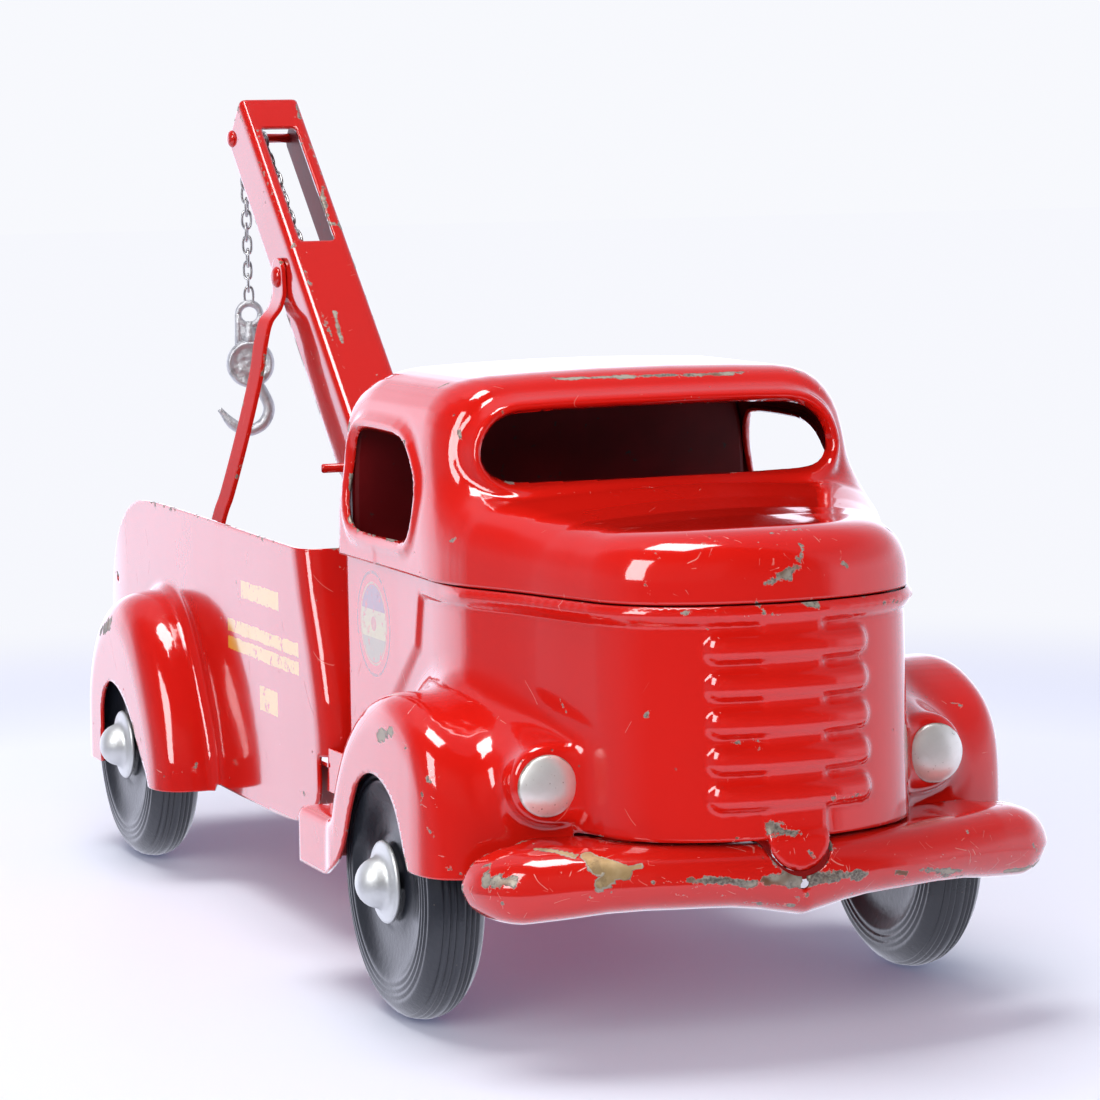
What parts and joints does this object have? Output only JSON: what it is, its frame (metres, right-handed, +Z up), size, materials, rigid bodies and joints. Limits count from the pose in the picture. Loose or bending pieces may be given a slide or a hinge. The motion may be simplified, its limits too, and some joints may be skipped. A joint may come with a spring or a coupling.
{
  "type": "toy tow truck",
  "caption": "Pressed-steel toy tow truck with a riveted channel boom, hand crank, chain and cast hook, on rubber wheels.",
  "frame": {"origin": "on the ground, on the centreline, at the middle of the overall length", "axes": "+Z up, -Y towards the nose, +X towards the truck's left side"},
  "size_m": [0.152, 0.3786, 0.2119],
  "materials": {
    "red_enamel": "glossy red stove enamel, chipped at edges",
    "red_enamel_bed": "glossy red stove enamel, scuffed",
    "rubber": "matt moulded black rubber",
    "nickel": "worn nickel plate",
    "aluminium": "satin pressed aluminium",
    "plain_steel": "bare bright steel, slightly dulled",
    "painted_rivet": "red enamel worn to steel on the head",
    "chain_wire": "plated wire",
    "cast_metal": "grey zinc casting"
  },
  "bodies": {
    "truck_body": {"cab_upper": "red_enamel", "lower_body": "red_enamel", "cab_back_panel": "red_enamel", "front_bumper": "red_enamel", "boom": "red_enamel", "brace_right": "red_enamel", "brace_left": "red_enamel", "bed_side_left": "red_enamel_bed", "bed_side_right": "red_enamel_bed", "bed_floor": "red_enamel_bed", "chassis_frame": "red_enamel_bed", "headlight_right": "nickel", "headlight_left": "nickel", "bumper_rivet_right": "plain_steel", "bumper_rivet_left": "plain_steel", "floor_rivet_front": "plain_steel", "floor_rivet_rear": "plain_steel", "boom_foot_rivet": "plain_steel", "boom_tip_pin": "plain_steel", "brace_top_rivet_right": "painted_rivet", "brace_top_rivet_left": "painted_rivet", "brace_foot_rivet_right": "plain_steel", "brace_foot_rivet_left": "plain_steel"},
    "front_axle": {"front_axle": "plain_steel", "hubcap_front_right": "aluminium", "hubcap_front_left": "aluminium"},
    "rear_axle": {"rear_axle": "plain_steel", "hubcap_rear_right": "aluminium", "hubcap_rear_left": "aluminium"},
    "winch": {"winch_shaft": "plain_steel", "chain_wound": "chain_wire"},
    "boom_chain": {"chain_boom_run": "chain_wire"},
    "hanging_chain_top": {"chain_upper": "chain_wire"},
    "hanging_chain": {"chain_lower": "chain_wire"},
    "hook": {"tow_hook": "cast_metal"},
    "wheel_front_right": {"tyre_front_right": "rubber"},
    "wheel_front_left": {"tyre_front_left": "rubber"},
    "wheel_rear_right": {"tyre_rear_right": "rubber"},
    "wheel_rear_left": {"tyre_rear_left": "rubber"}
  },
  "joints": [
    {"name": "front_axle_spin", "type": "hinge", "parent": "truck_body", "child": "front_axle", "pos_m": [0, -0.11334, 0.03175], "axis": [1, 0, 0], "continuous": true},
    {"name": "rear_axle_spin", "type": "hinge", "parent": "truck_body", "child": "rear_axle", "pos_m": [0, 0.10566, 0.03175], "axis": [1, 0, 0], "continuous": true},
    {"name": "wheel_front_right_spin", "type": "hinge", "parent": "front_axle", "child": "wheel_front_right", "pos_m": [-0.0622, -0.11334, 0.03175], "axis": [1, 0, 0], "continuous": true},
    {"name": "wheel_front_left_spin", "type": "hinge", "parent": "front_axle", "child": "wheel_front_left", "pos_m": [0.0622, -0.11334, 0.03175], "axis": [1, 0, 0], "continuous": true},
    {"name": "wheel_rear_right_spin", "type": "hinge", "parent": "rear_axle", "child": "wheel_rear_right", "pos_m": [-0.0622, 0.10566, 0.03175], "axis": [1, 0, 0], "continuous": true},
    {"name": "wheel_rear_left_spin", "type": "hinge", "parent": "rear_axle", "child": "wheel_rear_left", "pos_m": [0.0622, 0.10566, 0.03175], "axis": [1, 0, 0], "continuous": true},
    {"name": "winch_crank", "type": "hinge", "parent": "truck_body", "child": "winch", "pos_m": [0, 0.0837, 0.10852], "axis": [1, 0, 0], "range_deg": [-57.3, 57.3]},
    {"name": "boom_chain_run", "type": "slide", "parent": "truck_body", "child": "boom_chain", "axis": [0, 0.7226, 0.6913], "range_m": [-0.003, 0.003]},
    {"name": "hoist", "type": "slide", "parent": "truck_body", "child": "hanging_chain_top", "axis": [0, 0, 1], "range_m": [-0.003, 0.003]},
    {"name": "chain_swing", "type": "hinge", "parent": "hanging_chain_top", "child": "hanging_chain", "pos_m": [-0.0045, 0.18486, 0.1856], "axis": [1, 0, 0], "range_deg": [-20, 20]},
    {"name": "hook_swing", "type": "hinge", "parent": "hanging_chain", "child": "hook", "pos_m": [-0.0045, 0.18486, 0.1508], "axis": [0.299, 0.9542, 0], "range_deg": [-25, 25]}
  ],
  "couplings": [
    {"joint": "winch_crank", "follows": "hoist", "rad_per_m": 333.33},
    {"joint": "boom_chain_run", "follows": "hoist", "ratio": -1}
  ]
}
